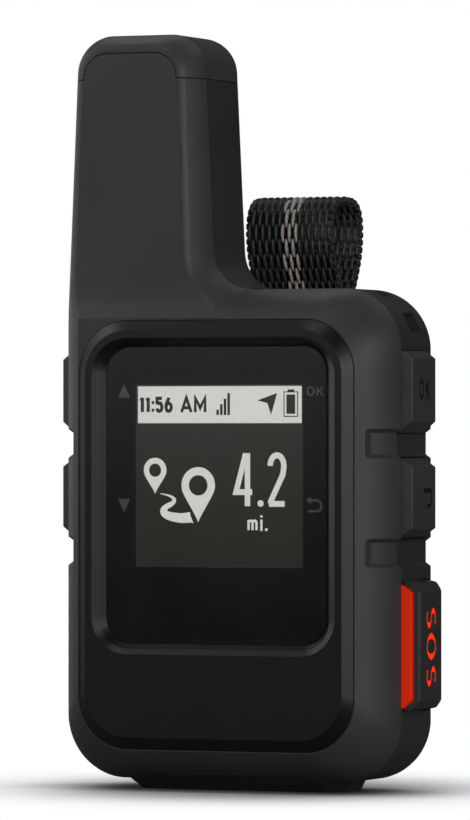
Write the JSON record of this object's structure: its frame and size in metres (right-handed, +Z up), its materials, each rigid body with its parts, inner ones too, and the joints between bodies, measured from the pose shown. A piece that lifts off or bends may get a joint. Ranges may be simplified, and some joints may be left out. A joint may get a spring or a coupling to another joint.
{
  "type": "handheld gps unit",
  "caption": "Palm-sized satellite navigator with a stub antenna, square screen, side keys, hinged emergency guard and a webbing loop on its back.",
  "frame": {"origin": "centre of the underside of the base foot", "axes": "+Z up along the body and antenna, -Y out of the screen, +X to the viewer's right"},
  "size_m": [0.0509, 0.037, 0.099],
  "materials": {
    "soft_grey": "fine matt, soft to the touch",
    "dark_shell": "fine matt",
    "front_black": "satin black",
    "window": "clear hardened window",
    "black_adhesive": "matt black",
    "screen": "reflective liquid crystal",
    "key_rubber": "matt moulded rubber",
    "signal_red": "satin red",
    "seal_rubber": "matt",
    "board": "solder mask",
    "copper_film": "thin bright strip",
    "steel": "bright",
    "brass": "turned",
    "cell_foil": "foil pouch",
    "ceramic": "fired ceramic",
    "webbing": "woven, with a pale middle stripe",
    "inner_plastic": "matt"
  },
  "bodies": {
    "unit": {"front_housing": "soft_grey", "rear_housing": "dark_shell", "antenna_cap": "soft_grey", "housing_gasket": "seal_rubber", "base_foot": "dark_shell", "display_bezel": "front_black", "lens_window": "window", "lens_adhesive": "black_adhesive", "display_module": "screen", "display_bracket": "inner_plastic", "display_ribbon": "copper_film", "right_key_board": "board", "left_key_board": "board", "sos_hinge_pin": "steel", "usb_port": "steel", "power_switch": "inner_plastic", "main_board": "board", "shield_cans": "steel", "satellite_modem": "inner_plastic", "battery": "cell_foil", "battery_pad": "seal_rubber", "patch_antenna": "ceramic", "antenna_former": "inner_plastic", "antenna_straps": "copper_film", "antenna_cable": "inner_plastic", "vent_membrane": "inner_plastic", "buzzer": "inner_plastic", "case_screws": "steel", "board_screws": "steel", "spine_insert": "brass", "spine_adapter": "dark_shell", "adapter_screw": "steel", "webbing_bar": "steel", "webbing_loop": "webbing"},
    "ok_key": {"ok_key": "key_rubber"},
    "back_key": {"back_key": "key_rubber"},
    "up_key": {"up_key": "key_rubber"},
    "down_key": {"down_key": "key_rubber"},
    "power_key": {"power_key": "key_rubber"},
    "sos_button": {"sos_button": "signal_red"},
    "sos_cover": {"sos_cover": "dark_shell"},
    "usb_cap": {"usb_cap": "seal_rubber"}
  },
  "joints": [
    {"name": "ok_press", "type": "slide", "parent": "unit", "child": "ok_key", "axis": [-1, 0, 0], "range_m": [0, 0.00035], "stiffness_N_per_m": 6000},
    {"name": "back_press", "type": "slide", "parent": "unit", "child": "back_key", "axis": [-1, 0, 0], "range_m": [0, 0.00035], "stiffness_N_per_m": 6000},
    {"name": "up_press", "type": "slide", "parent": "unit", "child": "up_key", "axis": [1, 0, 0], "range_m": [0, 0.00035], "stiffness_N_per_m": 6000},
    {"name": "down_press", "type": "slide", "parent": "unit", "child": "down_key", "axis": [1, 0, 0], "range_m": [0, 0.00035], "stiffness_N_per_m": 6000},
    {"name": "power_press", "type": "slide", "parent": "unit", "child": "power_key", "axis": [0, 0, -1], "range_m": [0, 0.0003], "stiffness_N_per_m": 6000},
    {"name": "sos_press", "type": "slide", "parent": "unit", "child": "sos_button", "axis": [-1, 0, 0], "range_m": [0, 0.0004], "stiffness_N_per_m": 6000},
    {"name": "sos_cover_hinge", "type": "hinge", "parent": "unit", "child": "sos_cover", "pos_m": [0.02405, 0.0032, 0.01915], "axis": [0, 0, 1], "range_deg": [0, 90]},
    {"name": "usb_cap_hinge", "type": "hinge", "parent": "unit", "child": "usb_cap", "pos_m": [-0.02315, 0.00355, 0.015], "axis": [0, 0, -1], "range_deg": [0, 100]}
  ]
}
